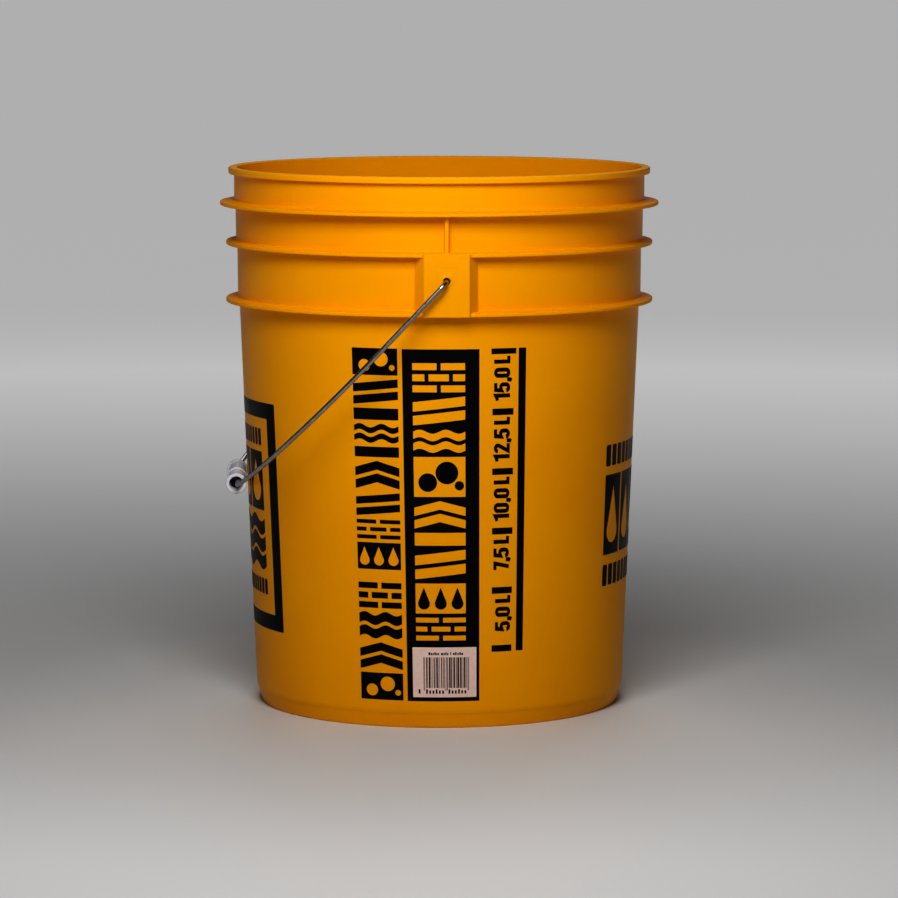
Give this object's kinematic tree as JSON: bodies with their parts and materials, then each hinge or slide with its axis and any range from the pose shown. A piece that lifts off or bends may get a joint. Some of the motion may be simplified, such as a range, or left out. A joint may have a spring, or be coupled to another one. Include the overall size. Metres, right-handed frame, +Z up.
{
  "type": "wash bucket",
  "caption": "Round tapered wash bucket with outer ribs and moulded ears, a swinging wire bail with a roller grip, a printed volume scale, printed patterns and a barcode label.",
  "frame": {"origin": "centre of the base, on the floor the bucket stands on", "axes": "+Z up through the mouth; the bail ears are on -Y and +Y, the front print faces -Y, and the bail lies down on -X"},
  "size_m": [0.3099, 0.3204, 0.38],
  "materials": {
    "pail_plastic": "semi-gloss moulded polyethylene",
    "bail_steel": "bright zinc plated",
    "grip_plastic": "satin moulded",
    "label_paper": "satin coated sticker",
    "print_ink": "glossy printed film"
  },
  "bodies": {
    "bucket": {"bucket_body": "pail_plastic", "barcode_label": "label_paper", "front_pattern_column": "print_ink", "front_pattern_panel": "print_ink", "volume_scale": "print_ink", "left_side_mark": "print_ink", "right_side_mark": "print_ink"},
    "bail": {"bail_wire": "bail_steel"},
    "roller": {"grip": "grip_plastic"}
  },
  "joints": [
    {"name": "bail_swing", "type": "hinge", "parent": "bucket", "child": "bail", "pos_m": [0, 0, 0.31], "axis": [0, 1, 0], "range_deg": [0, 272.3]},
    {"name": "grip_spin", "type": "hinge", "parent": "bail", "child": "roller", "pos_m": [-0.14419, 0, 0.15954], "axis": [0, 1, 0], "continuous": true}
  ]
}
